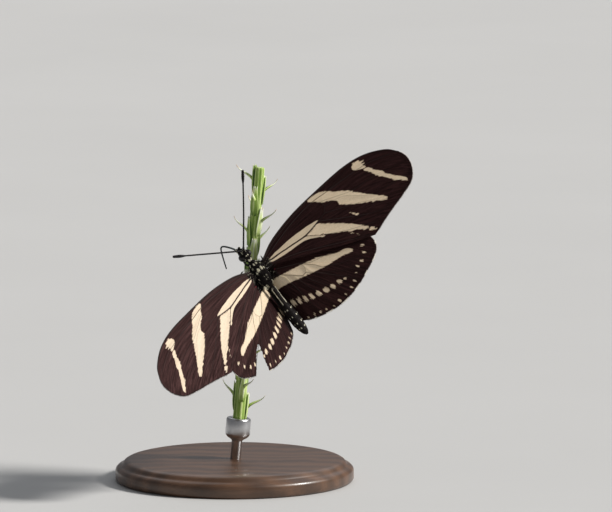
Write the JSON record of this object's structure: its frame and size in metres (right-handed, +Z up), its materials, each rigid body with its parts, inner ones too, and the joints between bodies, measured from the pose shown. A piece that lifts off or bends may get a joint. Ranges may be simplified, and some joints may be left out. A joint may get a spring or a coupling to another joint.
{
  "type": "butterfly model",
  "caption": "Life-size still model of a zebra longwing butterfly with spread wings, gripping a short cut flower stem on a round display stand.",
  "frame": {"origin": "middle of the whole model's box, on the floor under the stand", "axes": "+Z up, +X to the right as the picture sees it, -Y towards the viewer"},
  "size_m": [0.0694, 0.0644, 0.0785],
  "materials": {
    "wing_scales": "matt black-brown with cream bands",
    "body_scales": "matt black with cream spots",
    "horn": "satin dark",
    "eyes": "gloss dark",
    "stem": "matt green",
    "stand_wood": "satin dark walnut",
    "stand_metal": "brushed"
  },
  "bodies": {
    "root": {"forewing_left": "wing_scales", "forewing_right": "wing_scales", "hindwing_left": "wing_scales", "hindwing_right": "wing_scales", "head": "body_scales", "thorax": "body_scales", "abdomen": "body_scales", "palp_left": "body_scales", "palp_right": "body_scales", "eye_left": "eyes", "eye_right": "eyes", "antenna_left": "horn", "antenna_right": "horn", "proboscis": "horn", "leg_fore_left": "horn", "leg_fore_right": "horn", "leg_mid_left": "horn", "leg_mid_right": "horn", "leg_hind_left": "horn", "leg_hind_right": "horn", "perch_stem": "stem", "stand_rod": "stand_metal", "stand_base": "stand_wood"}
  },
  "joints": []
}
